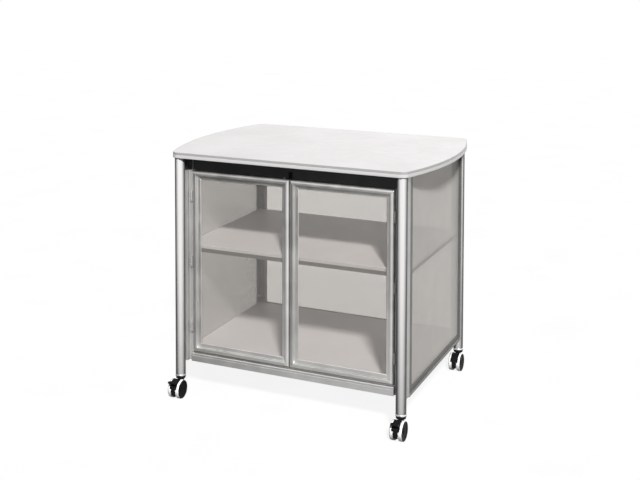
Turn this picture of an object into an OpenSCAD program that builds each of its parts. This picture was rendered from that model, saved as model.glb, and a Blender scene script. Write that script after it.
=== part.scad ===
// Mobile printer stand: a bow-ended worktop on four round legs, a two-door
// cabinet with translucent panels, and a twin-wheel caster under each leg.
// Millimetres, +Z up, +X to the right of a person facing the doors, -Y to the
// front. The origin is on the floor, under the middle of the overall box.

/* [Worktop] */
// Width of the worktop at the middle of its bowed ends
top_w = 882.6; // [872:0.1:892]
// Depth of the worktop from front edge to rear edge
top_d = 647.8; // [644:0.1:656]
// Height of the worktop's upper face above the floor
stand_h = 787.4; // [780:0.1:800]
// Thickness of the worktop
top_t = 18; // [16:1:22]
// How far each bowed end stands out beyond its corners
end_bow = 56; // [48:1:60]
// Radius of the worktop's corners
corner_r = 25; // [15:1:40]
// Thickness of the edge band
band_t = 2; // [1.5:0.5:3]

/* [Legs] */
// Outer diameter of a leg tube
leg_d = 31.75; // [30:0.25:32]
// Wall thickness of a leg tube
leg_wall = 1.5; // [1:0.25:2]
// Distance from the middle plane to a leg's centre, side to side
leg_x = 370; // [368:1:372]
// Distance from the worktop's middle to a leg's centre, front to back
leg_y = 302; // [300:1:303]
// Height of a leg tube's lower end above the floor
leg_foot_z = 67; // [66:1:70]

/* [Cabinet] */
// Distance from the middle plane to the outer face of a side frame
side_x = 382; // [381:0.5:383]
// Height of the side frames' lower edge above the floor
side_foot_z = 106; // [103:1:108]
// Width of a front post seen from the front
post_w = 42; // [41:1:43]
// Depth of a front post
post_d = 25; // [24:1:36]
// Height of the cabinet floor's upper face
floor_z = 139; // [136:1:140]
// Thickness of the cabinet floor
floor_t = 19; // [16:1:20]
// Height of the middle shelf's upper face
shelf_z = 484; // [380:1:560]
// Thickness of the middle shelf
shelf_t = 10; // [8:1:12]
// Height of the frame under the middle shelf
shelf_frame_h = 12.5; // [10:0.5:16]
// Thickness of a side, back or door panel
panel_t = 3; // [2:0.5:3]

/* [Doors] */
// Height of the doors' lower edge
door_z0 = 141; // [141:0.5:143]
// Height of the doors' upper edge
door_z1 = 723.5; // [715:0.5:725]
// Thickness of a door frame
door_t = 18; // [16:1:19]
// Width of the proud outer bar of a door frame
door_bar = 13.5; // [12:0.5:16]
// Width of the recessed inner step of a door frame
door_step = 13; // [10:1:16]
// Depth from the face of the bar back to the step
door_recess = 10; // [8:1:11]
// Clear gap between the two doors, and between a door and its post
door_gap = 2; // [1.5:0.5:3]
// How far the post's lower flange stands back from the face of a door
flange_back = 8; // [7:1:10]
// Height of one hinge
hinge_h = 34; // [28:1:44]
// Distance from a door's upper or lower edge to the middle of its end hinges
hinge_inset = 80; // [60:1:120]

/* [Casters] */
// Diameter of a caster wheel
wheel_d = 58; // [50:1:58]
// Width of one wheel
wheel_w = 13; // [11:1:14]
// Distance from the swivel stem's centre to the wheel axle's centre
caster_trail = 21; // [20:1:23]
// Thickness of a wheel's tread
tread_t = 2.5; // [2:0.5:4]
// Distance from the stem's centre to the tip of the brake pedal
pedal_reach = 62; // [60:1:66]

/* [Hidden] */
$fn = 48;
run_clear = 0.05;
wall = 2;

// Worktop: bow_r is the radius of the arc across each end
top_z = stand_h - top_t;
half_w = top_w / 2;
half_d = top_d / 2;
bow_r = (pow(half_d, 2) + pow(end_bow, 2)) / (2 * end_bow);

// Legs and what is pressed into their feet
leg_r = leg_d / 2;
bore_r = leg_r - leg_wall;
socket_flange_t = 3;
socket_z = leg_foot_z - socket_flange_t;
stem_r = 5.5;
stem_z0 = 47;
stem_h = 54;

// Front posts stand behind the front legs, and the back frame before the rear ones
post_x = side_x - post_w;
post_y0 = -leg_y + leg_r;
post_y1 = post_y0 + post_d;
rear_y = leg_y - leg_r;

// Doors, with the front rail and apron that close the gaps round them
door_y = post_y0 + 5;
door_back_y = door_y + door_t;
door_x0 = door_gap / 2;
door_x1 = post_x - door_gap;
rail_y0 = door_y - 3;
rail_y1 = rail_y0 + 20;
rail_z0 = side_foot_z + 4;
rail_z1 = door_z0 - 4;
apron_y = door_y + 13;
apron_z0 = door_z1 + 3;
apron_d = 22;

// Side frames: a thin flange round the opening, inside a thicker border
side_in_x = leg_x;
side_step_x = side_x - 6;
side_border = 8;
side_bar_y = rear_y - 4;
side_open_y0 = post_y1 + 39;
side_open_y1 = side_bar_y - 4;
side_open_z0 = side_foot_z + side_border + 11;
side_open_z1 = top_z - side_border - 6;
panel_lap = 6;

// Back frame
back_y = rear_y - 11;
back_slot_y = back_y + 4;
back_open_x = side_in_x - 20;
back_open_z0 = floor_z;
back_open_z1 = top_z - 18;

// Shelves
shelf_front_y = door_back_y + 0.5;
shelf_rail_w = 15;

// Hinges: the barrel stands in the recess between a door's edge and its post
knuckle_r = 3.5;
hinge_pin_r = 1.5;
leaf_t = 0.8;
leaf_clear = 0.2;
leaf_w = 10;
hinge_x = door_x1 + leaf_t + leaf_clear + knuckle_r;
hinge_y = door_y + knuckle_r;
hinge_heights = [door_z0 + hinge_inset, (door_z0 + door_z1) / 2, door_z1 - hinge_inset];

// Touch latch
strike_t = 1.2;
plunger_r = 4;
plunger_x = 12;
plunger_y0 = door_back_y + strike_t;
plunger_z = door_z1 - 7;
latch_y0 = plunger_y0 + 2;
latch_y1 = latch_y0 + 26;

// Casters
wheel_r = wheel_d / 2;
hub_r = wheel_r - tread_t;
axle_r = 3;
web_half = 4;
wheel_x0 = 6.5;
cap_r = 15;
cap_z1 = socket_z - 1;
cap_z0 = cap_z1 - 4.5;
pivot_y = -33;
pivot_z = 46;
lever_pin_r = 2;

stand_shift = (leg_y + pedal_reach - half_d) / 2;

steel = [0.62, 0.63, 0.61];
bright = [0.86, 0.86, 0.87];
dark = [0.3, 0.3, 0.29];
black = [0.08, 0.08, 0.08];
laminate = [0.93, 0.9, 0.9];
smoke = [0.75, 0.75, 0.73, 0.45];
tread_grey = [0.82, 0.82, 0.8];

// ---- shared shapes ----

// Moves a shape from the stand's own middle to the middle of the overall box
module at_stand() { translate([0, stand_shift, 0]) children(); }

// A box given by its two opposite corners
module block(low, high) { translate(low) cube(high - low); }

// The right-hand shape, or its mirror image on the left
module on_side(side) {
    if (side > 0) children();
    else mirror([1, 0, 0]) children();
}

// ---- worktop ----

// Straight front and rear edges, with one long arc across each end
module top_outline(inset) {
    offset(r = corner_r - inset) offset(delta = -corner_r)
        intersection() {
            square([top_w, top_d], center = true);
            translate([half_w - bow_r, 0]) circle(r = bow_r, $fn = 360);
            translate([bow_r - half_w, 0]) circle(r = bow_r, $fn = 360);
        }
}

module worktop() {
    color(laminate) at_stand() translate([0, 0, top_z])
        linear_extrude(top_t) top_outline(band_t);
}

module worktop_edge_band() {
    color(steel) at_stand() translate([0, 0, top_z]) linear_extrude(top_t)
        difference() {
            top_outline(0);
            top_outline(band_t);
        }
}

// ---- legs and caster fixings ----

module leg_at(side, rear) {
    color(bright) at_stand() translate([side * leg_x, rear * leg_y, leg_foot_z])
        difference() {
            cylinder(r = leg_r, h = top_z - leg_foot_z);
            translate([0, 0, -1]) cylinder(r = bore_r, h = top_z - leg_foot_z + 2);
        }
}

module leg_front_left() { leg_at(-1, -1); }
module leg_front_right() { leg_at(1, -1); }
module leg_rear_left() { leg_at(-1, 1); }
module leg_rear_right() { leg_at(1, 1); }

module at_each_leg() {
    at_stand() for (side = [-1, 1], rear = [-1, 1])
        translate([side * leg_x, rear * leg_y, 0]) children();
}

module caster_socket() {
    difference() {
        union() {
            translate([0, 0, socket_z]) cylinder(r = leg_r + 0.6, h = socket_flange_t);
            translate([0, 0, socket_z]) cylinder(r = bore_r, h = 40);
        }
        translate([0, 0, socket_z - 1]) cylinder(r = stem_r, h = 60);
    }
}

module caster_sockets() { color(black) at_each_leg() caster_socket(); }

module caster_stems() {
    color(bright) at_each_leg() translate([0, 0, stem_z0]) cylinder(r = stem_r, h = stem_h);
}

// ---- front of the cabinet ----

// Folded steel post: a box behind the leg, with a lower flange beside the door
module front_post(side) {
    shoulder_x = post_x + 12;
    flange_y = door_y + flange_back;
    color(steel) at_stand() on_side(side) difference() {
        union() {
            block([shoulder_x, post_y0, rail_z0], [side_x, post_y1, top_z]);
            block([post_x, flange_y, rail_z0], [shoulder_x + 1, post_y1, top_z]);
        }
        block([shoulder_x + wall, post_y0 + wall, rail_z0 + wall],
            [side_x - wall, post_y1 - wall, top_z + 1]);
        block([post_x + wall, flange_y + wall, rail_z0 + wall],
            [shoulder_x + wall + 1, post_y1 - wall, top_z + 1]);
    }
}

module front_post_left() { front_post(-1); }
module front_post_right() { front_post(1); }

// C-shaped apron, hung from the worktop between the posts
module front_apron() {
    color(black) at_stand() difference() {
        block([-post_x, apron_y, apron_z0], [post_x, apron_y + apron_d, top_z]);
        block([-post_x - 1, apron_y + wall, apron_z0 + wall],
            [post_x + 1, apron_y + apron_d + 1, top_z - wall]);
    }
}

// Box rail under the doors, with a ledge that carries the cabinet floor
module front_bottom_rail() {
    color(steel) at_stand() {
        difference() {
            block([-post_x, rail_y0, rail_z0], [post_x, rail_y1, rail_z1]);
            block([-post_x - 1, rail_y0 + wall, rail_z0 + wall],
                [post_x + 1, rail_y1 - wall, rail_z1 - wall]);
        }
        block([-post_x, rail_y1 - 1, floor_z - floor_t - wall],
            [post_x, rail_y1 + 18, floor_z - floor_t]);
    }
}

// ---- sides of the cabinet ----

module side_panel_block() {
    block([side_in_x, side_open_y0 - panel_lap, side_open_z0 - panel_lap],
        [side_in_x + panel_t, side_open_y1 + panel_lap, side_open_z1 + panel_lap]);
}

module side_frame(side) {
    color(steel) at_stand() on_side(side) difference() {
        block([side_in_x, post_y1, side_foot_z], [side_x, rear_y, top_z]);
        block([side_step_x, post_y1 - 1, side_foot_z + side_border],
            [side_x + 1, side_bar_y, top_z - side_border]);
        block([side_in_x - 1, side_open_y0, side_open_z0],
            [side_x + 1, side_open_y1, side_open_z1]);
        side_panel_block();
    }
}

module side_frame_left() { side_frame(-1); }
module side_frame_right() { side_frame(1); }

module side_panel(side) { color(smoke) at_stand() on_side(side) side_panel_block(); }

module side_panel_left() { side_panel(-1); }
module side_panel_right() { side_panel(1); }

// ---- back of the cabinet ----

module back_panel_block() {
    block([-back_open_x - panel_lap, back_slot_y, back_open_z0 - panel_lap],
        [back_open_x + panel_lap, back_slot_y + panel_t, back_open_z1 + panel_lap]);
}

// Frame slotted for the back panel, with a ledge that carries the cabinet floor
module back_frame() {
    color(dark) at_stand() {
        difference() {
            block([-side_in_x, back_y, rail_z0], [side_in_x, rear_y, top_z]);
            block([-back_open_x, back_y - 1, back_open_z0],
                [back_open_x, rear_y + 1, back_open_z1]);
            back_panel_block();
        }
        block([-back_open_x, back_y - 18, floor_z - floor_t - wall],
            [back_open_x, back_y + 1, floor_z - floor_t]);
    }
}

module back_panel() { color(smoke) at_stand() back_panel_block(); }

// ---- shelves ----

// Plan of the cabinet inside, notched round the front posts
module inside_plan(gap) {
    half = side_in_x - gap;
    difference() {
        translate([-half, shelf_front_y]) square([2 * half, back_y - gap - shelf_front_y]);
        for (side = [-1, 1]) on_side(side)
            translate([post_x - gap, shelf_front_y - 1])
                square([post_w, post_y1 + gap - shelf_front_y + 1]);
    }
}

module bottom_shelf() {
    color(laminate) at_stand() translate([0, 0, floor_z - floor_t])
        linear_extrude(floor_t) inside_plan(0.5);
}

module middle_shelf() {
    color(laminate) at_stand() translate([0, 0, shelf_z - shelf_t])
        linear_extrude(shelf_t) inside_plan(0.5);
}

// Flat-bar frame under the middle shelf, fixed to the posts and the back frame
module shelf_frame() {
    hole_x = side_in_x - shelf_rail_w;
    hole_y0 = post_y1 + shelf_rail_w;
    hole_y1 = back_y - shelf_rail_w;
    color(dark) at_stand() translate([0, 0, shelf_z - shelf_t - shelf_frame_h])
        linear_extrude(shelf_frame_h) difference() {
            inside_plan(0);
            translate([-hole_x, hole_y0]) square([2 * hole_x, hole_y1 - hole_y0]);
        }
}

// ---- doors ----

module door_panel_block() {
    block([door_x0 + door_bar, door_y + door_recess + 2.5, door_z0 + door_bar],
        [door_x1 - door_bar, door_y + door_recess + 2.5 + panel_t, door_z1 - door_bar]);
}

// Proud outer bar, then a recessed step, with an open pocket behind for the panel
module door_frame(side) {
    border = door_bar + door_step;
    color(steel) at_stand() on_side(side) difference() {
        block([door_x0, door_y, door_z0], [door_x1, door_back_y, door_z1]);
        block([door_x0 + door_bar, door_y - 1, door_z0 + door_bar],
            [door_x1 - door_bar, door_y + door_recess, door_z1 - door_bar]);
        block([door_x0 + border, door_y - 1, door_z0 + border],
            [door_x1 - border, door_back_y + 1, door_z1 - border]);
        block([door_x0 + door_bar, door_y + door_recess + 2.5, door_z0 + door_bar],
            [door_x1 - door_bar, door_back_y + 1, door_z1 - door_bar]);
    }
}

module door_panel(side) { color(smoke) at_stand() on_side(side) door_panel_block(); }

// Steel plate behind the top rail, that the latch plunger touches
module door_strike(side) {
    color(bright) at_stand() on_side(side)
        block([door_x0 + 3, door_back_y, door_z1 - 12],
            [door_x0 + 20, door_back_y + strike_t, door_z1 - 2]);
}

module left_door_frame() { door_frame(-1); }
module right_door_frame() { door_frame(1); }
module left_door_panel() { door_panel(-1); }
module right_door_panel() { door_panel(1); }
module left_door_strike() { door_strike(-1); }
module right_door_strike() { door_strike(1); }

// ---- hinges ----

module at_each_hinge() {
    for (z = hinge_heights) translate([hinge_x, hinge_y, z]) children();
}

// One barrel of a hinge, with a tongue out to a corner of its leaf
module knuckle(z0, z1, hole_r, tongue) {
    difference() {
        union() {
            translate([0, 0, z0]) cylinder(r = knuckle_r, h = z1 - z0);
            block([min(tongue.x, -leaf_t / 2), -leaf_t / 2, z0],
                [leaf_t / 2, max(tongue.y, leaf_t / 2), z1]);
        }
        translate([0, 0, z0 - 1]) cylinder(r = hole_r, h = z1 - z0 + 2);
    }
}

// A leaf flat on the edge of each door, joined to the middle barrel
module door_leaves(side) {
    part_h = hinge_h / 5;
    leaf_x = door_x1 - hinge_x;
    color(bright) at_stand() on_side(side) at_each_hinge() {
        block([leaf_x, -knuckle_r + 1, -hinge_h / 2], [leaf_x + leaf_t, leaf_w, hinge_h / 2]);
        knuckle(-part_h + 0.2, part_h - 0.2, hinge_pin_r + run_clear, [leaf_x + leaf_t / 2, 0]);
    }
}

module left_door_leaves() { door_leaves(-1); }
module right_door_leaves() { door_leaves(1); }

// A leaf flat on the flange of each post, joined to the upper and lower barrels
module post_hinge_leaves() {
    part_h = hinge_h / 5;
    leaf_y = door_y + flange_back - hinge_y;
    leaf_x = post_x + 0.5 - hinge_x;
    color(bright) at_stand() for (side = [-1, 1]) on_side(side) at_each_hinge() {
        block([leaf_x, leaf_y - leaf_t, -hinge_h / 2], [leaf_x + leaf_w, leaf_y, hinge_h / 2]);
        knuckle(-hinge_h / 2, -part_h, hinge_pin_r, [0, leaf_y - leaf_t / 2]);
        knuckle(part_h, hinge_h / 2, hinge_pin_r, [0, leaf_y - leaf_t / 2]);
    }
}

module hinge_pins() {
    color(bright) at_stand() for (side = [-1, 1]) on_side(side) at_each_hinge()
        translate([0, 0, -hinge_h / 2]) cylinder(r = hinge_pin_r, h = hinge_h);
}

// ---- touch latch ----

// Housing under the apron with a blind bore for each plunger, and the small
// block that stands on the apron over the gap between the doors
module latch_housing() {
    color(black) at_stand() {
        difference() {
            block([-24, latch_y0, door_z1 - 19], [24, latch_y1, apron_z0]);
            for (side = [-1, 1])
                translate([side * plunger_x, latch_y0 - 1, plunger_z]) rotate([-90, 0, 0])
                    cylinder(r = plunger_r + run_clear, h = 25);
        }
        block([-5, apron_y - 3, apron_z0 + 1], [5, apron_y, apron_z0 + 19]);
    }
}

module plunger(side) {
    color(bright) at_stand() translate([side * plunger_x, plunger_y0, plunger_z])
        rotate([-90, 0, 0]) cylinder(r = plunger_r, h = 20);
}

module left_plunger() { plunger(-1); }
module right_plunger() { plunger(1); }

// ---- casters ----

module caster_at(side, rear) {
    at_stand() translate([side * leg_x, rear * leg_y, 0]) children();
}

// A cylinder along X, centred on the wheel axle
module axle_rod(r, length) {
    translate([-length / 2, -caster_trail, wheel_r]) rotate([0, 90, 0])
        cylinder(r = r, h = length);
}

// Flat web between the wheels, seen from the side
module caster_web(braked) {
    rotate([90, 0, 90]) linear_extrude(2 * web_half, center = true) {
        hull() {
            translate([-caster_trail, wheel_r]) circle(r = 13);
            translate([-11, 42]) square([22, cap_z0 - 42]);
        }
        if (braked) hull() {
            translate([-caster_trail, wheel_r]) circle(r = 13);
            translate([pivot_y, pivot_z]) circle(r = 5);
        }
    }
}

module caster_body(side, rear) {
    clear_r = wheel_r + 1.5;
    color(black) caster_at(side, rear) difference() {
        union() {
            caster_web(rear < 0);
            translate([0, 0, 42]) cylinder(r = 11, h = cap_z0 - 42 + 1);
            translate([0, 0, cap_z0]) cylinder(r = cap_r, h = cap_z1 - cap_z0);
            if (rear < 0) translate([-web_half - 1.9, pivot_y, pivot_z]) rotate([0, 90, 0])
                cylinder(r = lever_pin_r, h = 2 * (web_half + 1.9));
        }
        for (wheel = [-1, 1]) on_side(wheel) translate([wheel_x0 - 0.4, 0, 0])
            intersection() {
                block([0, -80, 0], [20, 20, cap_z0]);
                translate([0, -caster_trail, wheel_r]) rotate([0, 90, 0])
                    cylinder(r = clear_r, h = 20);
            }
        translate([0, 0, stem_z0 - 1]) cylinder(r = stem_r + run_clear, h = 30);
        axle_rod(axle_r, 30);
    }
}

module caster_axle(side, rear) {
    color(bright) caster_at(side, rear) axle_rod(axle_r, 2 * (wheel_x0 + wheel_w - 4));
}

// Wheel centre with a blind bore, dished on its outer face
module wheel_hub(side, rear, wheel) {
    color(black) caster_at(side, rear) on_side(wheel)
        translate([wheel_x0, -caster_trail, wheel_r]) rotate([0, 90, 0]) difference() {
            cylinder(r = hub_r, h = wheel_w);
            translate([0, 0, -1]) cylinder(r = axle_r + run_clear, h = wheel_w - 2);
            translate([0, 0, wheel_w - 1]) cylinder(r = hub_r - 3, h = 2);
        }
}

module wheel_tread(side, rear, wheel) {
    edge = 1;
    color(tread_grey) caster_at(side, rear) on_side(wheel)
        translate([wheel_x0, -caster_trail, wheel_r]) rotate([0, 90, 0]) rotate_extrude()
            polygon([[hub_r, 0], [wheel_r - edge, 0], [wheel_r, edge],
                [wheel_r, wheel_w - edge], [wheel_r - edge, wheel_w], [hub_r, wheel_w]]);
}

// Two cheeks on the web's pin, joined by a pedal that stands before the wheels
module brake_lever(side, rear) {
    cheek_t = 1.6;
    pedal_y1 = -pedal_reach + 16;
    color(black) caster_at(side, rear) difference() {
        union() {
            for (cheek = [-1, 1]) on_side(cheek) translate([web_half + 0.15, 0, 0])
                rotate([90, 0, 90]) linear_extrude(cheek_t) hull() {
                    translate([pivot_y, pivot_z]) circle(r = 4.5);
                    translate([pedal_y1 - 2, 55]) circle(r = 4);
                }
            rotate([90, 0, 90]) linear_extrude(24, center = true) hull() {
                translate([pedal_y1 - 3, 56]) circle(r = 4);
                translate([-pedal_reach + 3.5, 59]) circle(r = 3.5);
            }
        }
        translate([-20, pivot_y, pivot_z]) rotate([0, 90, 0])
            cylinder(r = lever_pin_r + run_clear, h = 40);
    }
}

module front_left_body() { caster_body(-1, -1); }
module front_left_axle() { caster_axle(-1, -1); }
module front_left_outer_hub() { wheel_hub(-1, -1, -1); }
module front_left_inner_hub() { wheel_hub(-1, -1, 1); }
module front_left_outer_tread() { wheel_tread(-1, -1, -1); }
module front_left_inner_tread() { wheel_tread(-1, -1, 1); }
module front_left_brake() { brake_lever(-1, -1); }
module front_right_body() { caster_body(1, -1); }
module front_right_axle() { caster_axle(1, -1); }
module front_right_outer_hub() { wheel_hub(1, -1, 1); }
module front_right_inner_hub() { wheel_hub(1, -1, -1); }
module front_right_outer_tread() { wheel_tread(1, -1, 1); }
module front_right_inner_tread() { wheel_tread(1, -1, -1); }
module front_right_brake() { brake_lever(1, -1); }
module rear_left_body() { caster_body(-1, 1); }
module rear_left_axle() { caster_axle(-1, 1); }
module rear_left_outer_hub() { wheel_hub(-1, 1, -1); }
module rear_left_inner_hub() { wheel_hub(-1, 1, 1); }
module rear_left_outer_tread() { wheel_tread(-1, 1, -1); }
module rear_left_inner_tread() { wheel_tread(-1, 1, 1); }
module rear_right_body() { caster_body(1, 1); }
module rear_right_axle() { caster_axle(1, 1); }
module rear_right_outer_hub() { wheel_hub(1, 1, 1); }
module rear_right_inner_hub() { wheel_hub(1, 1, -1); }
module rear_right_outer_tread() { wheel_tread(1, 1, 1); }
module rear_right_inner_tread() { wheel_tread(1, 1, -1); }

worktop();
worktop_edge_band();
leg_front_left();
leg_front_right();
leg_rear_left();
leg_rear_right();
caster_sockets();
caster_stems();
front_post_left();
front_post_right();
front_apron();
front_bottom_rail();
side_frame_left();
side_frame_right();
side_panel_left();
side_panel_right();
back_frame();
back_panel();
bottom_shelf();
middle_shelf();
shelf_frame();
post_hinge_leaves();
hinge_pins();
latch_housing();
left_door_frame();
left_door_panel();
left_door_leaves();
left_door_strike();
right_door_frame();
right_door_panel();
right_door_leaves();
right_door_strike();
left_plunger();
right_plunger();
front_left_body();
front_left_axle();
front_left_outer_hub();
front_left_inner_hub();
front_left_outer_tread();
front_left_inner_tread();
front_left_brake();
front_right_body();
front_right_axle();
front_right_outer_hub();
front_right_inner_hub();
front_right_outer_tread();
front_right_inner_tread();
front_right_brake();
rear_left_body();
rear_left_axle();
rear_left_outer_hub();
rear_left_inner_hub();
rear_left_outer_tread();
rear_left_inner_tread();
rear_right_body();
rear_right_axle();
rear_right_outer_hub();
rear_right_inner_hub();
rear_right_outer_tread();
rear_right_inner_tread();
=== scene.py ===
import math

import bmesh
import bpy
from mathutils import Matrix, Vector


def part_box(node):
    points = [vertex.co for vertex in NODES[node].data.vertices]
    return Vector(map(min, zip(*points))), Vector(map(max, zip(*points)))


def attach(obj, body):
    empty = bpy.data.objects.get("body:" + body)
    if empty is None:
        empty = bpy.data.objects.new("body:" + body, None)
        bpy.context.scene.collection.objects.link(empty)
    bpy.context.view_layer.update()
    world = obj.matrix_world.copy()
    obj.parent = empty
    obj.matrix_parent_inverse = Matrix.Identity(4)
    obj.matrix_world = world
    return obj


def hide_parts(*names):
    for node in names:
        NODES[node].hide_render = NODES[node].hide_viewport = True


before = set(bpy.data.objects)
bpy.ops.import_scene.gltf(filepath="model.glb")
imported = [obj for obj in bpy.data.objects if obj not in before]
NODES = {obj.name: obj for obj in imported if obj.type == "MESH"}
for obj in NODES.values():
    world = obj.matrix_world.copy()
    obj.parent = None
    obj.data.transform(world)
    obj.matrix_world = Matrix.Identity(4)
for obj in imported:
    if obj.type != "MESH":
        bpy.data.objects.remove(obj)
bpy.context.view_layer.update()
CORNERS = ["front_left", "front_right", "rear_left", "rear_right"]
MM = 0.001
# Edges that turn by more than this stay crisp, and are rounded where a piece has a bevel
SHARP = math.radians(35)


# ---- node graphs for the finishes ----

class Graph:
    """A node tree, with short calls for the nodes that the finishes and the light share."""

    def __init__(self, owner):
        owner.use_nodes = True
        self.owner = owner
        self.tree = owner.node_tree
        self.tree.nodes.clear()
        self.place = self.add("ShaderNodeTexCoord").outputs["Object"]

    def add(self, kind, inputs=None, **settings):
        made = self.tree.nodes.new(kind)
        for key, value in settings.items():
            setattr(made, key, value)
        for key, value in (inputs or {}).items():
            if isinstance(value, bpy.types.NodeSocket):
                self.tree.links.new(value, made.inputs[key])
            else:
                made.inputs[key].default_value = value
        return made

    def noise(self, per_metre, detail, stretch=(1, 1, 1)):
        mapped = self.add("ShaderNodeMapping", {"Vector": self.place, "Scale": stretch})
        inputs = {"Vector": mapped.outputs[0], "Scale": per_metre, "Detail": detail}
        return self.add("ShaderNodeTexNoise", inputs).outputs["Fac"]

    def remap(self, value, low, high, to_low, to_high):
        inputs = {"Value": value, "From Min": low, "From Max": high,
                  "To Min": to_low, "To Max": to_high}
        return self.add("ShaderNodeMapRange", inputs).outputs["Result"]

    def multiply(self, a, b):
        return self.add("ShaderNodeMath", {0: a, 1: b}, operation="MULTIPLY").outputs[0]

    def mix(self, factor, a, b):
        made = self.add("ShaderNodeMix", {0: factor, 6: a, 7: b}, data_type="RGBA")
        return made.outputs[2]

    def height(self):
        return self.add("ShaderNodeSeparateXYZ", {0: self.place}).outputs["Z"]

    def facing(self):
        """0 where the surface faces the eye, 1 at its outline."""
        return self.add("ShaderNodeLayerWeight", {"Blend": 0.5}).outputs["Facing"]

    def bump(self, height, depth):
        inputs = {"Height": height, "Distance": depth, "Strength": 1.0}
        return self.add("ShaderNodeBump", inputs).outputs["Normal"]

    def edges(self, radius, patches):
        """1 on worn edges, broken up by the patches value, and 0 on flat faces."""
        rounded = self.add("ShaderNodeBevel", {"Radius": radius}, samples=4).outputs[0]
        true = self.add("ShaderNodeNewGeometry").outputs["Normal"]
        turn = self.add("ShaderNodeVectorMath", {0: rounded, 1: true},
                        operation="DOT_PRODUCT").outputs["Value"]
        return self.multiply(self.remap(turn, 0.985, 0.8, 0, 1),
                             self.remap(patches, 0.42, 0.62, 0, 1))

    def principled(self, color, roughness, skin, metallic=0.0, gloss=0.5):
        inputs = {"Base Color": color, "Roughness": roughness, "Normal": skin,
                  "Metallic": metallic, "Specular IOR Level": gloss}
        return self.add("ShaderNodeBsdfPrincipled", inputs).outputs[0]

    def finish(self, shader):
        self.add("ShaderNodeOutputMaterial", {"Surface": shader})
        return self.owner


def new_finish(name):
    return Graph(bpy.data.materials.new(name))


def rgb(red, green, blue):
    return (red, green, blue, 1.0)


def shade(color, tone):
    """The same colour, lighter or darker."""
    return tuple(tone * part for part in color[:3]) + (1.0,)


def laminate(name, tone):
    """White laminate: faint warm clouds, fine print speckle, a pebbled skin, and a darker grey on
    upright faces.
    """
    g = new_finish(name)
    clouds = g.noise(5, 4)
    speckle = g.noise(700, 2)
    color = g.mix(g.remap(clouds, 0.35, 0.65, 0, 1), shade(rgb(0.69, 0.665, 0.668), tone),
                  shade(rgb(0.74, 0.717, 0.72), tone))
    color = g.mix(g.remap(speckle, 0.56, 0.7, 0, 0.45), color, shade(rgb(0.52, 0.49, 0.495), tone))
    # Upright faces are given a darker grey than the top and bottom faces.
    up = g.add("ShaderNodeSeparateXYZ", {0: g.add("ShaderNodeNewGeometry").outputs["Normal"]})
    upright_darker = g.remap(g.add("ShaderNodeMath", {0: up.outputs["Z"]}, operation="ABSOLUTE").outputs[0],
                   0.3, 0.8, 0.9, 0)
    color = g.mix(upright_darker, color, rgb(0.50, 0.485, 0.475))
    rough = g.remap(g.noise(30, 5), 0.3, 0.7, 0.36, 0.52)
    skin = g.bump(g.noise(1600, 2), 0.00004)
    return g.finish(g.principled(color, rough, skin, gloss=0.25))


def edge_moulding(split_z):
    """Two-tone edge moulding, darker over the groove, with faint extrusion streaks."""
    g = new_finish("edge_moulding")
    upper = g.remap(g.height(), split_z - 0.0002, split_z + 0.0002, 0, 1)
    color = g.mix(upper, rgb(0.54, 0.532, 0.53), rgb(0.30, 0.30, 0.296))
    streaks = g.noise(40, 4, (1, 1, 60))
    color = g.mix(g.remap(streaks, 0.4, 0.7, 0, 0.22), color, rgb(0.5, 0.49, 0.49))
    rough = g.remap(g.noise(60, 3), 0.3, 0.7, 0.32, 0.48)
    return g.finish(g.principled(color, rough, g.bump(streaks, 0.00005)))


def satin_metal(name, base, worn, grain, metallic, rough, outline_shade=0.0):
    """Satin metal with drawn grain and soft smudges. The outline shade amount paints it darker towards
    its outline, as painted shade.
    """
    g = new_finish(name)
    drawn = g.noise(300, 4, grain)
    color = g.mix(g.remap(drawn, 0.4, 0.75, 0, 0.3), base, worn)
    # Painted shade: the colour darkens towards the outline, where the surface turns away from the eye.
    color = g.mix(g.remap(g.facing(), 0.05, 0.4, 0, outline_shade), color, rgb(0.02, 0.02, 0.02))
    smudge = g.noise(14, 5)
    color = g.mix(g.remap(smudge, 0.5, 0.75, 0, 0.12), color, worn)
    roughness = g.remap(smudge, 0.3, 0.7, rough - 0.05, rough + 0.08)
    gloss = 0.5 * (1 - outline_shade)
    return g.finish(g.principled(color, roughness, g.bump(drawn, 0.00002), metallic, gloss))


def painted(name, base, worn, rough, metallic, shaded_recess_x=None):
    """Sprayed metallic paint: flake, orange peel, dusty patches and worn edges.

    Faces nearer the middle plane than the recess limit are painted near black, as painted shade in the
    recess."""
    g = new_finish(name)
    patches = g.noise(9, 5)
    flake = g.noise(2600, 1)
    color = g.mix(g.remap(patches, 0.35, 0.65, 0, 1), shade(base, 0.86), base)
    color = g.mix(g.remap(flake, 0.62, 0.75, 0, 0.4), color, worn)
    color = g.mix(g.multiply(g.edges(0.0009, g.noise(55, 4)), 0.55), color, worn)
    # Painted shade: faces inside the recess turn near black.
    if shaded_recess_x:
        along_x = g.add("ShaderNodeSeparateXYZ", {0: g.place}).outputs["X"]
        across = g.add("ShaderNodeMath", {0: along_x}, operation="ABSOLUTE").outputs[0]
        inside = g.remap(across, shaded_recess_x - 0.0008, shaded_recess_x, 0.5, 0)
        color = g.mix(inside, color, rgb(0.03, 0.03, 0.029))
    roughness = g.remap(g.noise(26, 4), 0.3, 0.7, rough - 0.06, rough + 0.1)
    peel = g.bump(g.noise(420, 2), 0.00005)
    return g.finish(g.principled(color, roughness, peel, metallic))


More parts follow.
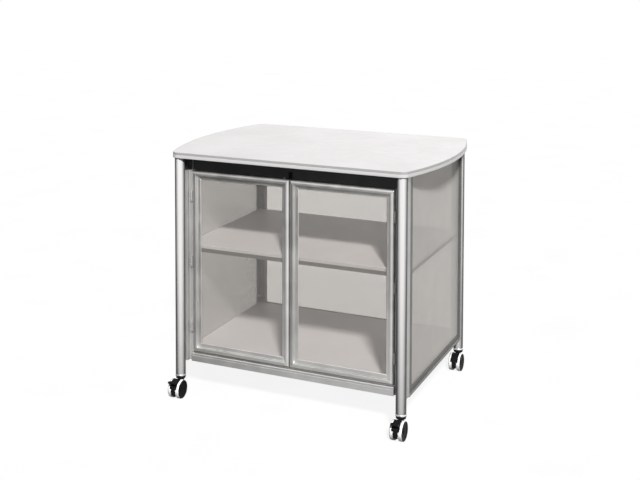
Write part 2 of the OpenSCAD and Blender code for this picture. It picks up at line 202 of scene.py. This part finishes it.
def translucent_sheet(name, haze, build_up, tint, milk):
    """Translucent plastic sheet: partly clear, partly milky, with a weak shine.

    Seen at a slant it is thicker and so hazier. Build_up says how fast that grows."""
    g = new_finish(name)
    drift = g.noise(7, 4)
    color = g.mix(g.remap(drift, 0.35, 0.65, 0, 1), shade(milk, 0.96), milk)
    fine = g.bump(g.noise(700, 2), 0.000006)
    face = g.add("ShaderNodeBsdfDiffuse", {"Color": color, "Normal": fine}).outputs[0]
    glow = g.add("ShaderNodeBsdfTranslucent", {"Color": color}).outputs[0]
    milky = g.add("ShaderNodeMixShader", {0: 0.25, 1: face, 2: glow}).outputs[0]
    clear = g.add("ShaderNodeBsdfTransparent", {"Color": tint}).outputs[0]
    upright = g.add("ShaderNodeMath", {0: 1.0, 1: g.facing()}, operation="SUBTRACT").outputs[0]
    slant = g.add("ShaderNodeMath", {0: 1.0, 1: upright}, operation="DIVIDE").outputs[0]
    slant = g.add("ShaderNodeMath", {0: slant, 1: build_up}, operation="POWER").outputs[0]
    slant = g.add("ShaderNodeMath", {0: slant, 1: 20.0}, operation="MINIMUM").outputs[0]
    thin = g.remap(g.noise(9, 3), 0.3, 0.7, 1 - 0.96 * haze, 1 - 1.04 * haze)
    seen = g.add("ShaderNodeMath", {0: thin, 1: slant}, operation="POWER").outputs[0]
    body = g.add("ShaderNodeMixShader", {0: seen, 1: milky, 2: clear}).outputs[0]
    skin_rough = g.remap(g.noise(40, 4), 0.3, 0.7, 0.12, 0.24)
    gloss = g.add("ShaderNodeBsdfGlossy", {"Roughness": skin_rough, "Normal": fine}).outputs[0]
    edge_on = g.add("ShaderNodeFresnel", {"IOR": 1.3}).outputs[0]
    shine = g.multiply(edge_on, 0.25)
    return g.finish(g.add("ShaderNodeMixShader", {0: shine, 1: body, 2: gloss}).outputs[0])


def moulded(name, base, worn, rough, gloss=0.3):
    """Moulded plastic or rubber: fine texture, dust and painted shade low down, and rubbed edges."""
    g = new_finish(name)
    patches = g.noise(60, 4)
    # Towards the floor the colour turns to the worn one: dust on the black plastic, painted shade on
    # the pale tyres' lower parts.
    low = g.remap(g.height(), 0.0, 0.034, 0.95, 0.0)
    color = g.mix(g.multiply(low, g.remap(patches, 0.35, 0.6, 0.5, 1)), base, worn)
    color = g.mix(g.multiply(g.edges(0.0005, g.noise(130, 3)), 0.4), color, worn)
    roughness = g.remap(patches, 0.3, 0.7, rough - 0.07, rough + 0.12)
    grain = g.bump(g.noise(1400, 2), 0.00007)
    return g.finish(g.principled(color, roughness, grain, gloss=gloss))


# ---- shapes ----

class Shape:
    """Closed solids gathered into one mesh, in metres, in the stand's own frame."""

    def __init__(self):
        self.verts = []
        self.faces = []

    def add(self, verts, faces, place):
        start = len(self.verts)
        self.verts += [place @ Vector(v) for v in verts]
        self.faces += [[start + i for i in face] for face in faces]
        return self

    def prism(self, outline, low, high, place=Matrix()):
        """An outline in x and y, carried from z low to z high."""
        count = len(outline)
        verts = [(x, y, low) for x, y in outline] + [(x, y, high) for x, y in outline]
        sides = [[i, (i + 1) % count, count + (i + 1) % count, count + i] for i in range(count)]
        caps = [list(range(count))[::-1], list(range(count, 2 * count))]
        return self.add(verts, sides + caps, place)

    def box(self, low, high):
        outline = [(low[0], low[1]), (high[0], low[1]), (high[0], high[1]), (low[0], high[1])]
        return self.prism(outline, low[2], high[2])

    def rings(self, rings, closed, place=Matrix()):
        """Skins equal rings of points. Closed joins the last ring back to the first."""
        count = len(rings[0])
        verts = [p for ring in rings for p in ring]
        rows = len(rings) if closed else len(rings) - 1
        faces = []
        for row in range(rows):
            here, there = row * count, ((row + 1) % len(rings)) * count
            for i in range(count):
                j = (i + 1) % count
                faces.append([here + i, here + j, there + j, there + i])
        if not closed:
            faces.append(list(range(count))[::-1])
            faces.append([(len(rings) - 1) * count + i for i in range(count)])
        return self.add(verts, faces, place)

    def lathe(self, profile, place, steps, closed=False):
        """Turns (radius, z) points about z. An open profile is capped at both ends."""
        turns = [2 * math.pi * i / steps for i in range(steps)]
        rings = [[(r * math.cos(a), r * math.sin(a), z) for a in turns] for r, z in profile]
        return self.rings(rings, closed, place)


def add_piece(name, shape, body, material, bevel=0.0, stands_for=()):
    """Makes a shape into a visible piece that moves with a body and may replace CAD nodes."""
    mesh = bpy.data.meshes.new(name)
    mesh.from_pydata([tuple(v) for v in shape.verts], [], shape.faces)
    mesh.validate()
    piece = bpy.data.objects.new(name, mesh)
    bpy.context.scene.collection.objects.link(piece)
    mesh.materials.append(material)
    make_outward(mesh)
    mesh.shade_smooth()
    mesh.set_sharp_from_angle(angle=SHARP)
    round_edges(piece, bevel)
    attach(piece, body)
    if stands_for:
        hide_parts(*stands_for)


def make_outward(mesh):
    """Joins doubled points and turns every face to look outward."""
    work = bmesh.new()
    work.from_mesh(mesh)
    bmesh.ops.remove_doubles(work, verts=work.verts, dist=1e-7)
    bmesh.ops.recalc_face_normals(work, faces=work.faces)
    work.to_mesh(mesh)
    work.free()


def round_edges(piece, width):
    """Rounds the sharp edges of a piece, where a width is given."""
    if width:
        rounding = piece.modifiers.new("rounding", "BEVEL")
        rounding.width = width
        rounding.segments = 2
        rounding.limit_method = "ANGLE"
        rounding.angle_limit = SHARP


def dress(node, material, bevel=0.0):
    """Gives a CAD node its finish, and rounds its edges."""
    piece = NODES[node]
    piece.data.materials.clear()
    piece.data.materials.append(material)
    if bevel:
        weld = piece.modifiers.new("weld", "WELD")
        weld.merge_threshold = 1e-6
        round_edges(piece, bevel)


def centre(node):
    """The middle of a CAD node's box."""
    low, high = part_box(node)
    return (low + high) / 2


def convex(points):
    """The convex outline round some points, anticlockwise."""
    points = sorted(set(points))

    def half(run):
        chain = []
        for p in run:
            while len(chain) > 1:
                (ax, ay), (bx, by) = chain[-2], chain[-1]
                if (bx - ax) * (p[1] - ay) - (by - ay) * (p[0] - ax) > 0:
                    break
                chain.pop()
            chain.append(p)
        return chain[:-1]

    return half(points) + half(points[::-1])


def around(*circles):
    """The outline of a band stretched round circles given as (x, y, radius)."""
    steps = 32
    return convex([
        (x + r * math.cos(2 * math.pi * i / steps), y + r * math.sin(2 * math.pi * i / steps))
        for x, y, r in circles for i in range(steps)])


# Carries a shape drawn in (y, z) and extruded along x, to the stand's frame
ALONG_X = Matrix(((0, 0, 1, 0), (1, 0, 0, 0), (0, 1, 0, 0), (0, 0, 0, 1)))
# Turns a shape that points up so that it points to the front
FACING_FRONT = Matrix.Rotation(math.radians(90), 4, "X")


# ---- finishes ----

BOARD_LOW, BOARD_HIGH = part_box("worktop")
GROOVE_Z = BOARD_HIGH.z - 7.4 * MM

WORKTOP_WHITE = laminate("worktop_laminate", 0.86)
SHELF_WHITE = laminate("shelf_laminate", 1.0)
MOULDING = edge_moulding(GROOVE_Z)
# The legs' last argument paints heavy shade towards their outlines.
LEG_SILVER = satin_metal("leg_silver", rgb(0.53, 0.525, 0.521), rgb(0.46, 0.455, 0.45), (1, 1, 0.02),
                         0.0, 0.45, 0.85)
FRAME_GREY = painted("frame_grey", rgb(0.37, 0.366, 0.356), rgb(0.68, 0.68, 0.67), 0.42, 0.4)
DOOR_GREY = painted("frame_aluminium", rgb(0.57, 0.565, 0.552), rgb(0.85, 0.85, 0.84), 0.36, 0.92)
# The side frames' last argument paints shade on the faces recessed behind their outer face.
SIDE_STEEL = painted("side_steel", rgb(0.17, 0.168, 0.162), rgb(0.30, 0.30, 0.29), 0.5, 0.3,
                     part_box("side_frame_right")[1].x - 1 * MM)
DARK_STEEL = painted("dark_steel", rgb(0.15, 0.148, 0.142), rgb(0.30, 0.30, 0.29), 0.45, 0.3)
# Black steel; its black on the apron and on the plates over the posts is painted shade.
BLACK_STEEL_AND_SHADE = painted("black_steel", rgb(0.018, 0.018, 0.019), rgb(0.10, 0.10, 0.10), 0.38, 0.0)
BRIGHT_STEEL = satin_metal("bright_steel", rgb(0.74, 0.74, 0.75), rgb(0.5, 0.5, 0.51), (1, 1, 0.1),
                           0.8, 0.3)
GLAZING = translucent_sheet("smoky_glazing", 0.075, 1, rgb(0.915, 0.905, 0.895), rgb(0.72, 0.70, 0.68))
FROSTED = translucent_sheet("frosted_back", 0.15, 1, rgb(0.93, 0.92, 0.91), rgb(0.82, 0.80, 0.775))
SIDE_SHEET = translucent_sheet("smoky_side", 0.05, 2, rgb(0.76, 0.75, 0.735), rgb(0.82, 0.80, 0.77))
BLACK_PLASTIC = moulded("black_plastic", rgb(0.006, 0.006, 0.007), rgb(0.013, 0.0128, 0.0125),
                        0.5, 0.05)
# Its dark second colour is painted shade on each tyre's lower part, and rubbing on the tyre's edges.
TREAD = moulded("pale_tread", rgb(0.74, 0.735, 0.72), rgb(0.12, 0.118, 0.115), 0.6)
GASKET = moulded("gasket_rubber", rgb(0.03, 0.03, 0.031), rgb(0.10, 0.10, 0.10), 0.55)

CAD_FINISHES = {
    "worktop": (WORKTOP_WHITE, 0.0),
    "bottom_shelf": (SHELF_WHITE, 0.8),
    "middle_shelf": (SHELF_WHITE, 0.8),
    "shelf_frame": (DARK_STEEL, 0.6),
    "back_frame": (DARK_STEEL, 0.8),
    "back_panel": (FROSTED, 0.0),
    # The apron's black is painted shade under the worktop's front edge.
    "front_apron": (BLACK_STEEL_AND_SHADE, 0.5),
    "post_hinge_leaves": (FRAME_GREY, 0.25),
    "hinge_pins": (FRAME_GREY, 0.2),
    "latch_housing": (BLACK_PLASTIC, 0.5),
    "caster_sockets": (BLACK_PLASTIC, 0.4),
    "caster_stems": (BRIGHT_STEEL, 0.4),
}


def dress_cad_nodes():
    """Finishes for every CAD node that stays visible, with its edge radius in millimetres."""
    for node, (material, bevel) in CAD_FINISHES.items():
        dress(node, material, bevel * MM)
    for side in ("left", "right"):
        dress(f"front_post_{side}", FRAME_GREY, 0.9 * MM)
        dress(f"side_frame_{side}", SIDE_STEEL, 0.6 * MM)
        dress(f"side_panel_{side}", SIDE_SHEET)
        dress(f"{side}_door_panel", GLAZING)
        dress(f"{side}_door_leaves", FRAME_GREY, 0.25 * MM)
        dress(f"{side}_door_strike", BRIGHT_STEEL, 0.25 * MM)
        dress(f"{side}_plunger", BRIGHT_STEEL, 0.6 * MM)
    for corner in CORNERS:
        dress(f"{corner}_axle", BRIGHT_STEEL, 0.4 * MM)
        dress(f"leg_{corner}", LEG_SILVER, 0.3 * MM)


# ---- worktop edge and legs ----

def board_outline():
    """Corners of the board's upper face, in order round it."""
    middle = (BOARD_LOW + BOARD_HIGH) / 2
    rim = {(round(v.co.x, 6), round(v.co.y, 6)) for v in NODES["worktop"].data.vertices}
    turn = sorted(rim, key=lambda p: math.atan2(p[1] - middle.y, p[0] - middle.x))
    return [Vector((x, y, 0)) for x, y in turn]


def outward(points, i):
    """The direction straight out of a closed outline at one of its points."""
    along = (points[(i + 1) % len(points)] - points[i - 1]).normalized()
    return Vector((along.y, -along.x, 0))


def edge_moulding_piece():
    """Moulding swept round the board: a square upper lip, a groove and a full lower bead."""
    band = (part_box("worktop_edge_band")[1] - BOARD_HIGH).x
    top, bottom = BOARD_HIGH.z, BOARD_LOW.z
    section = [
        (0.0, top), (band * 0.7, top), (band, top - 0.7 * MM), (band, GROOVE_Z + 0.5 * MM),
        (band * 0.55, GROOVE_Z), (band, GROOVE_Z - 0.5 * MM), (band, bottom + 2.2 * MM),
        (band * 0.8, bottom + 0.7 * MM), (band * 0.4, bottom), (0.0, bottom),
    ]
    points = board_outline()
    rings = []
    for i, point in enumerate(points):
        away = outward(points, i)
        rings.append([point + away * out + Vector((0, 0, z)) for out, z in section])
    add_piece("worktop_edge_moulding", Shape().rings(rings, True), "frame", MOULDING,
              stands_for=["worktop_edge_band"])


def leg_ferrules():
    """A bright rolled ring round the foot of each leg."""
    for corner in CORNERS:
        low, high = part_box(f"leg_{corner}")
        middle = (low + high) / 2
        inner = (high.x - low.x) / 2 - 0.4 * MM
        section = [
            (inner, 0), (inner + 0.9 * MM, 0), (inner + 1.2 * MM, 0.6 * MM),
            (inner + 1.2 * MM, 3.6 * MM), (inner + 0.8 * MM, 4.4 * MM), (inner, 4.6 * MM),
        ]
        ring = Shape().lathe(section, Matrix.Translation((middle.x, middle.y, low.z)), 64, True)
        add_piece(f"leg_ferrule_{corner}", ring, "frame", BRIGHT_STEEL)


# ---- doors ----

def mitred_frame(low, high, section):
    """Four bars that follow a section round a rectangle in x and z, mitred at its corners.

    The section gives (inward, back) distances from the rectangle's edge and front face."""
    gap = 0.12 * MM
    shape = Shape()
    corners = [(low.x, low.z), (high.x, low.z), (high.x, high.z), (low.x, high.z)]
    for i in range(4):
        (ax, az), (bx, bz) = corners[i], corners[(i + 1) % 4]
        along = Vector((bx - ax, 0, bz - az)).normalized()
        inward = Vector((-along.z, 0, along.x))
        rings = []
        for x, z, sign in ((ax, az, 1), (bx, bz, -1)):
            corner = Vector((x, low.y, z))
            rings.append([corner + inward * u + along * sign * (u + gap) + Vector((0, back, 0))
                          for u, back in section])
        shape.rings(rings, False)
    return shape


def shoulder(width, depth):
    """The rounded outer shoulder of a bar, as (inward, back) points from its edge to its face."""
    steps = 10
    turns = [math.pi / 2 * i / steps for i in range(steps + 1)]
    return [(width * (1 - math.cos(a)), depth * (1 - math.sin(a))) for a in turns]


def door(side):
    """The door's frame in four mitred bars, and the bead that holds its panel."""
    low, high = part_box(f"{side}_door_frame")
    panel_low, panel_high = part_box(f"{side}_door_panel")
    bar = panel_low.x - low.x
    deep = high.y - low.y
    lip_back = panel_low.y - low.y
    lip = lip_back - 2.5 * MM
    step = bar + 13 * MM
    section = shoulder(10.5 * MM, 7 * MM) + [
        (bar - 0.6 * MM, 0), (bar, 0.6 * MM), (bar, lip), (step - 1.2 * MM, lip),
        (step, lip + 0.9 * MM), (step, lip_back), (bar, lip_back), (bar, deep), (0, deep),
    ]
    add_piece(f"{side}_door_bars", mitred_frame(low, high, section), f"{side}_door", DOOR_GREY,
              0.3 * MM, [f"{side}_door_frame"])
    behind = panel_high.y - low.y + 0.1 * MM
    seat = bar + 0.1 * MM
    bead_back = deep - 0.2 * MM
    bead = [(seat, behind), (bar + 7 * MM, behind), (bar + 6 * MM, deep - 0.8 * MM),
            (bar + 4 * MM, bead_back), (seat, bead_back)]
    add_piece(f"{side}_door_bead", mitred_frame(low, high, bead), f"{side}_door", GASKET)


def screw_head(shape, at, axis_turn, radius):
    """A domed head with a small round dimple in its middle."""
    dome = [(radius, 0), (radius, 0.25 * radius), (0.8 * radius, 0.45 * radius),
            (0.45 * radius, 0.58 * radius), (0.42 * radius, 0.40 * radius)]
    shape.lathe(dome, Matrix.Translation(at) @ axis_turn, 24)


def hinge_screws():
    """Two screws through each hinge leaf on the posts."""
    pin_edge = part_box("hinge_pins")[1].x
    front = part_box("post_hinge_leaves")[1].y - 0.8 * MM
    shape = Shape()
    for sign in (-1, 1):
        x = sign * (pin_edge + 4.5 * MM)
        for z in pin_levels():
            for rise in (-10 * MM, 10 * MM):
                screw_head(shape, (x, front, z + rise), FACING_FRONT, 1.9 * MM)
    add_piece("hinge_screws", shape, "frame", BRIGHT_STEEL)


def pin_levels():
    """Heights of the middles of the hinge pins."""
    ends = sorted({round(v.co.z, 5) for v in NODES["hinge_pins"].data.vertices})
    return [(below + above) / 2 for below, above in zip(ends[::2], ends[1::2])]


def apron_shade_plates():
    """Black plates that paint shade: a cover over the head of each post, where the worktop's shadow
    falls, and a strip behind the doors' upper edges that darkens the gap under the apron.
    """
    low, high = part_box("front_apron")
    post_low, post_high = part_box("front_post_right")
    door_low, door_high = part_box("right_door_frame")
    thick = 0.5 * MM
    air = 0.02 * MM
    shoulder_x = post_low.x + 12 * MM
    flange_y = door_low.y + 8 * MM
    front = post_low.y - thick
    steps = [
        ((post_low.x, flange_y - thick), (shoulder_x, flange_y - air)),
        ((shoulder_x - thick, front), (shoulder_x - air, flange_y)),
        ((shoulder_x - thick, front), (post_high.x, post_low.y - air)),
    ]
    # Black strip behind the doors' tops: painted shade in the gap under the apron.
    shade_behind_doors = ((26 * MM, door_high.y + 0.6 * MM), (door_high.x, door_high.y + 2.6 * MM))
    shape = Shape()
    for side in (-1, 1):
        for near, far in steps:
            plate(shape, side, near, far, low.z, high.z)
        plate(shape, side, *shade_behind_doors, door_high.z - 7 * MM, low.z + 1 * MM)
    add_piece("apron_shade_plates", shape, "frame", BLACK_STEEL_AND_SHADE)


def plate(shape, side, near, far, bottom, top):
    """A box given for the right side in x and y, placed on either side of the middle plane."""
    xs = sorted((side * near[0], side * far[0]))
    shape.box((xs[0], near[1], bottom), (xs[1], far[1], top))


def bottom_rail():
    """Rail under the doors: a rounded upper lip, a groove, the face, and a ledge behind."""
    low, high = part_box("front_bottom_rail")
    rear = low.y + 20 * MM
    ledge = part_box("bottom_shelf")[0].z
    lip, foot, groove = 2.8 * MM, 1.5 * MM, 2.2 * MM
    top_lip = around(*((y, high.z - lip, lip) for y in (low.y + lip, rear - lip)))
    face_top = high.z - 2 * lip - groove - foot
    face = around(*((y, z, foot) for y in (low.y + foot, rear - foot)
                    for z in (face_top, low.z + foot)))
    shape = Shape()
    shape.prism(top_lip, low.x, high.x, ALONG_X)
    shape.prism(face, low.x, high.x, ALONG_X)
    shape.box((low.x, low.y + 3.5 * MM, face_top), (high.x, rear - 2 * MM, high.z - lip))
    shape.box((low.x, rear - 1 * MM, ledge - 2 * MM), (high.x, high.y, ledge))
    add_piece("bottom_rail", shape, "frame", DOOR_GREY, 0.3 * MM,
              ["front_bottom_rail"])


# ---- back of the cabinet ----

def back_screws():
    """Pan-head screws up both stiles of the back frame, inside and outside."""
    low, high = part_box("back_frame")
    panel_low, panel_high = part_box("back_panel")
    inside = low.y + 18 * MM
    head = 3.6 * MM
    rows = 4
    first, last = panel_low.z + 19 * MM, panel_high.z - 25 * MM
    shape = Shape()
    for sign in (-1, 1):
        x = sign * (high.x - 10 * MM)
        for row in range(rows):
            z = first + (last - first) * row / (rows - 1)
            screw_head(shape, (x, inside, z), FACING_FRONT, head)
            screw_head(shape, (x, high.y, z), FACING_FRONT.inverted(), head)
    add_piece("back_frame_screws", shape, "frame", BLACK_STEEL_AND_SHADE)


def corner_angles():
    """Thin steel angle up each rear corner, held by a bright screw near either end."""
    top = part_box("back_frame")[1].z
    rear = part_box("back_frame")[1].y - 11 * MM
    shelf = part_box("bottom_shelf")[1]
    thick = 0.4 * MM
    wide = 26 * MM
    angles = Shape()
    screws = Shape()
    for sign in (-1, 1):
        face = sign * (shelf.x + 0.05 * MM)
        back = face + sign * thick
        angles.box((min(face, back), rear - wide, shelf.z), (max(face, back), rear, top))
        facing_in = Matrix.Rotation(math.radians(-90 * sign), 4, "Y")
        for z in (shelf.z + 23 * MM, top - 23 * MM):
            screw_head(screws, (face, rear - 8 * MM, z), facing_in, 3.4 * MM)
    add_piece("rear_corner_angles", angles, "frame", DARK_STEEL, 0.1 * MM)
    add_piece("corner_angle_screws", screws, "frame", BRIGHT_STEEL)


# ---- casters ----

# Half the thickness of the web between the wheels, and of the neck and pin that fill their gap
WEB = 4 * MM
GAP_HALF = 5.9 * MM
# Radius of the boss round an axle
BOSS = 13 * MM
# Where the brake pedal turns: along y from the stem, and above the floor
PIVOT_Y, PIVOT_Z = -33 * MM, 46 * MM


def wheel(corner, place_name):
    """A dished disc with a domed centre cap, inside a crowned pale tyre."""
    low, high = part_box(f"{corner}_{place_name}_hub")
    middle = (low + high) / 2
    stem = centre(f"leg_{corner}")
    out = 1 if middle.x > stem.x else -1
    inner_x = low.x if out > 0 else high.x
    spot = Matrix.Translation((inner_x, middle.y, middle.z))
    side = spot @ Matrix.Diagonal((out, 1, 1, 1)) @ ALONG_X
    wide = high.x - low.x
    rim = (high.z - low.z) / 2
    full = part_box(f"{corner}_{place_name}_tread")[1].z - middle.z
    disc = [
        (3.2 * MM, wide - 2 * MM), (3.2 * MM, 0), (8 * MM, 0), (9 * MM, 2 * MM),
        (rim - 4 * MM, 2.4 * MM), (rim - 3 * MM, 0.2 * MM), (rim, 0.2 * MM),
        (rim, wide - 1 * MM), (full - 0.7 * MM, wide - 1 * MM), (full - 0.6 * MM, wide - 0.5 * MM),
        (full - 1.2 * MM, wide), (rim - 2.5 * MM, wide), (rim - 3.4 * MM, wide - 1.1 * MM),
        (11 * MM, wide - 2.2 * MM), (9.5 * MM, wide - 1.1 * MM), (8.4 * MM, wide - 0.5 * MM),
        (5 * MM, wide - 0.1 * MM), (1 * MM, wide),
    ]
    tyre = [
        (rim, 0.3 * MM), (full - 0.9 * MM, 0.3 * MM), (full - 0.2 * MM, 1.4 * MM),
        (full, 3.6 * MM), (full, wide - 4.2 * MM), (full - 0.2 * MM, wide - 2 * MM),
        (full - 0.7 * MM, wide - 1.1 * MM), (rim, wide - 1.1 * MM),
    ]
    body = f"{corner}_{place_name}_wheel"
    add_piece(f"{corner}_{place_name}_disc", Shape().lathe(disc, side, 64), body,
              BLACK_PLASTIC, 0.25 * MM, [f"{corner}_{place_name}_hub"])
    add_piece(f"{corner}_{place_name}_tyre", Shape().lathe(tyre, side, 64, True), body,
              TREAD, 0.2 * MM, [f"{corner}_{place_name}_tread"])


def hood(shape, trail, axle_z, place):
    """A curved guard round the front of the wheels, broad above the axle and narrow below it.

    Its angles are in degrees, from the rear over the top to the front."""
    inner, outer = axle_z + 1.2 * MM, axle_z + 3.0 * MM
    # The guard is drawn broad, so its black is partly the real hood and partly painted shade over the
    # wheels.
    for first, last, half in ((95, 165, 12 * MM), (165, 205, 7 * MM)):
        turns = [math.radians(angle) for angle in range(first, last + 1, 5)]
        curve = [(trail + outer * math.cos(a), axle_z + outer * math.sin(a)) for a in turns]
        curve += [(trail + inner * math.cos(a), axle_z + inner * math.sin(a)) for a in turns[::-1]]
        shape.prism(curve, -half, half, place @ ALONG_X)
    stay = around((trail, axle_z, BOSS), (trail - 26 * MM, axle_z - 4 * MM, 6 * MM))
    shape.prism(stay, -WEB, WEB, place @ ALONG_X)


def caster_frame(corner):
    """Moulded horn between the wheels, under a round turntable cap."""
    stem = centre(f"leg_{corner}")
    axle = centre(f"{corner}_axle")
    place = Matrix.Translation((stem.x, stem.y, 0))
    trail = axle.y - stem.y
    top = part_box(f"{corner}_body")[1].z
    boss = (trail, axle.z, BOSS)
    shape = Shape()
    horn = around(boss, (-7 * MM, 52 * MM, 4 * MM), (6 * MM, 52 * MM, 5 * MM),
                  (6 * MM, 44 * MM, 5 * MM))
    shape.prism(horn, -WEB, WEB, place @ ALONG_X)
    neck = around((-6.5 * MM, 52 * MM, 4 * MM), (6 * MM, 53 * MM, 4.5 * MM),
                  (6 * MM, 45 * MM, 4.5 * MM))
    shape.prism(neck, -GAP_HALF, GAP_HALF, place @ ALONG_X)
    cap = [
        (8 * MM, top - 7.2 * MM), (10.5 * MM, top - 7 * MM), (12 * MM, top - 5.6 * MM),
        (14.6 * MM, top - 5.2 * MM), (15 * MM, top - 4.6 * MM), (15 * MM, top - 1.2 * MM),
        (14.4 * MM, top - 0.3 * MM), (13.4 * MM, top), (6 * MM, top),
    ]
    shape.lathe(cap, place, 64)
    hood(shape, trail, axle.z, place)
    if corner.startswith("front"):
        arm = around(boss, (PIVOT_Y, PIVOT_Z, 5 * MM))
        shape.prism(arm, -WEB, WEB, place @ ALONG_X)
        land = GAP_HALF - 0.3 * MM
        pin = [(0.5 * MM, -GAP_HALF), (1.7 * MM, -GAP_HALF), (2 * MM, -land),
               (2 * MM, land), (1.7 * MM, GAP_HALF), (0.5 * MM, GAP_HALF)]
        shape.lathe(pin, place @ Matrix.Translation((0, PIVOT_Y, PIVOT_Z)) @ ALONG_X, 24)
    add_piece(f"{corner}_horn", shape, f"{corner}_caster", BLACK_PLASTIC,
              0.5 * MM, [f"{corner}_body"])


def brake_pedal(corner):
    """Two cheeks on the horn's pin, and a ribbed pedal across them."""
    stem = centre(f"leg_{corner}")
    place = Matrix.Translation((stem.x, stem.y, 0)) @ ALONG_X
    shape = Shape()
    cheek = around((PIVOT_Y, PIVOT_Z, 4.5 * MM), (-48 * MM, 55 * MM, 4 * MM))
    for side in (-1, 1):
        shape.prism(cheek, side * 4.15 * MM, side * 5.75 * MM, place)
    pad = around((-49 * MM, 56 * MM, 4 * MM), (-58.5 * MM, 59 * MM, 3.5 * MM))
    shape.prism(pad, -12 * MM, 12 * MM, place)
    ribs = 4
    for rib in range(ribs):
        share = (rib + 0.5) / ribs
        ridge = around(((-49 - 8 * share) * MM, (59.6 + 2.3 * share) * MM, 0.9 * MM))
        shape.prism(ridge, -10 * MM, 10 * MM, place)
    add_piece(f"{corner}_pedal", shape, f"{corner}_brake", BLACK_PLASTIC,
              0.4 * MM, [f"{corner}_brake"])


def casters():
    """Two wheels under each leg, and a brake pedal on the front pair."""
    for corner in CORNERS:
        caster_frame(corner)
        wheel(corner, "outer")
        wheel(corner, "inner")
        if corner.startswith("front"):
            brake_pedal(corner)


# ---- stage, light and camera ----

def floor():
    """Pale floor that takes only a faint shadow, and sends little light back up.

    The camera sees white paper. Dull surfaces see a dark floor, and shiny ones a floor that
    brightens to the right."""
    mesh = bpy.data.meshes.new("floor")
    reach = 12
    mesh.from_pydata([(-reach, -reach, 0), (reach, -reach, 0), (reach, reach, 0), (-reach, reach, 0)],
                     [], [(0, 1, 2, 3)])
    plane = bpy.data.objects.new("floor", mesh)
    bpy.context.scene.collection.objects.link(plane)
    g = new_finish("pale_floor")
    seen = g.add("ShaderNodeLightPath").outputs["Is Camera Ray"]
    paper = g.remap(g.noise(4, 3), 0.3, 0.7, 0.97, 1.0)
    glow = g.add("ShaderNodeEmission", {"Color": rgb(1, 1, 1), "Strength": paper}).outputs[0]
    plain = g.add("ShaderNodeBsdfDiffuse", {"Color": rgb(0.9, 0.9, 0.9)}).outputs[0]
    dull = g.add("ShaderNodeBsdfDiffuse", {"Color": rgb(0.25, 0.247, 0.243)}).outputs[0]
    shown = g.add("ShaderNodeMixShader", {0: 0.10, 1: glow, 2: plain}).outputs[0]
    right = g.add("ShaderNodeSeparateXYZ", {0: g.place}).outputs["X"]
    sheen = g.add("ShaderNodeEmission", {"Strength": g.remap(right, -0.9, 0.9, 0.12, 1.2)}).outputs[0]
    glossy = g.add("ShaderNodeLightPath").outputs["Is Glossy Ray"]
    unseen = g.add("ShaderNodeMixShader", {0: glossy, 1: dull, 2: sheen}).outputs[0]
    shader = g.add("ShaderNodeMixShader", {0: seen, 1: unseen, 2: shown}).outputs[0]
    mesh.materials.append(g.finish(shader))


def light():
    """One soft key from the front right, in a white studio.

    The studio lights dull surfaces from above and behind, and shows shiny ones a bright card
    up on the right."""
    key = bpy.data.lights.new("key", "SUN")
    key.energy = 5.6
    key.angle = math.radians(6)
    lamp = bpy.data.objects.new("key", key)
    lamp.rotation_euler = Vector((-0.385, 0.685, -0.618)).to_track_quat("-Z", "Y").to_euler()
    bpy.context.scene.collection.objects.link(lamp)
    world = bpy.data.worlds.new("studio")
    bpy.context.scene.world = world
    g = Graph(world)
    way = g.add("ShaderNodeTexCoord").outputs["Generated"]
    path = g.add("ShaderNodeLightPath").outputs
    split = g.add("ShaderNodeSeparateXYZ", {0: way}).outputs
    overhead = g.remap(split["Z"], 0.1, 1.0, 0.024, 0.12)
    behind = g.remap(split["Y"], 0.1, 0.9, 0.0, 0.45)
    fill = g.add("ShaderNodeMath", {0: overhead, 1: behind}).outputs[0]
    card_way = (0.75, 0.1, 0.65)
    toward_card = g.add("ShaderNodeVectorMath", {0: way, 1: card_way},
                        operation="DOT_PRODUCT").outputs["Value"]
    card = g.remap(toward_card, -0.2, 0.1, 0.1, 1.76)
    unseen = g.add("ShaderNodeMix", {0: path["Is Glossy Ray"], 2: fill, 3: card}).outputs[0]
    level = g.add("ShaderNodeMix", {0: path["Is Camera Ray"], 2: unseen, 3: 1.0}).outputs[0]
    sky = g.add("ShaderNodeBackground", {"Color": rgb(1, 1, 1), "Strength": level}).outputs[0]
    g.add("ShaderNodeOutputWorld", {"Surface": sky})


def camera():
    """Stands about where the photo was taken from, looking a little down with a shifted lens.

    The place, the turn and the lens were fitted to the photo with the worktop's size held
    close to an assumed one."""
    lens = bpy.data.cameras.new("camera")
    lens.sensor_width = 36
    lens.lens = 62.838
    eye = bpy.data.objects.new("camera", lens)
    eye.location = (1.3942, -3.33005, 1.4182)
    eye.rotation_euler = (math.radians(90 - 3.24), 0, math.radians(25.109))
    bpy.context.scene.collection.objects.link(eye)
    bpy.context.scene.camera = eye
    shift_lens_here(eye, "shift_x", 0.06913)
    shift_lens_here(eye, "shift_y", -0.35125)


def shift_lens_here(eye, direction, amount):
    """Shifts the lens while the camera stands where it does now, and not once it is moved."""
    driver = eye.data.driver_add(direction).driver
    driver.type = "SCRIPTED"
    stand = driver.variables.new()
    stand.name = "stand"
    stand.type = "TRANSFORMS"
    stand.targets[0].id = eye
    stand.targets[0].transform_type = "LOC_X"
    driver.expression = f"{amount} if abs(stand - {eye.location.x:.4f}) < 0.001 else 0"


dress_cad_nodes()
edge_moulding_piece()
leg_ferrules()
door("left")
door("right")
hinge_screws()
apron_shade_plates()
bottom_rail()
back_screws()
corner_angles()
casters()
floor()
light()
camera()
bpy.context.scene.view_settings.view_transform = "Standard"
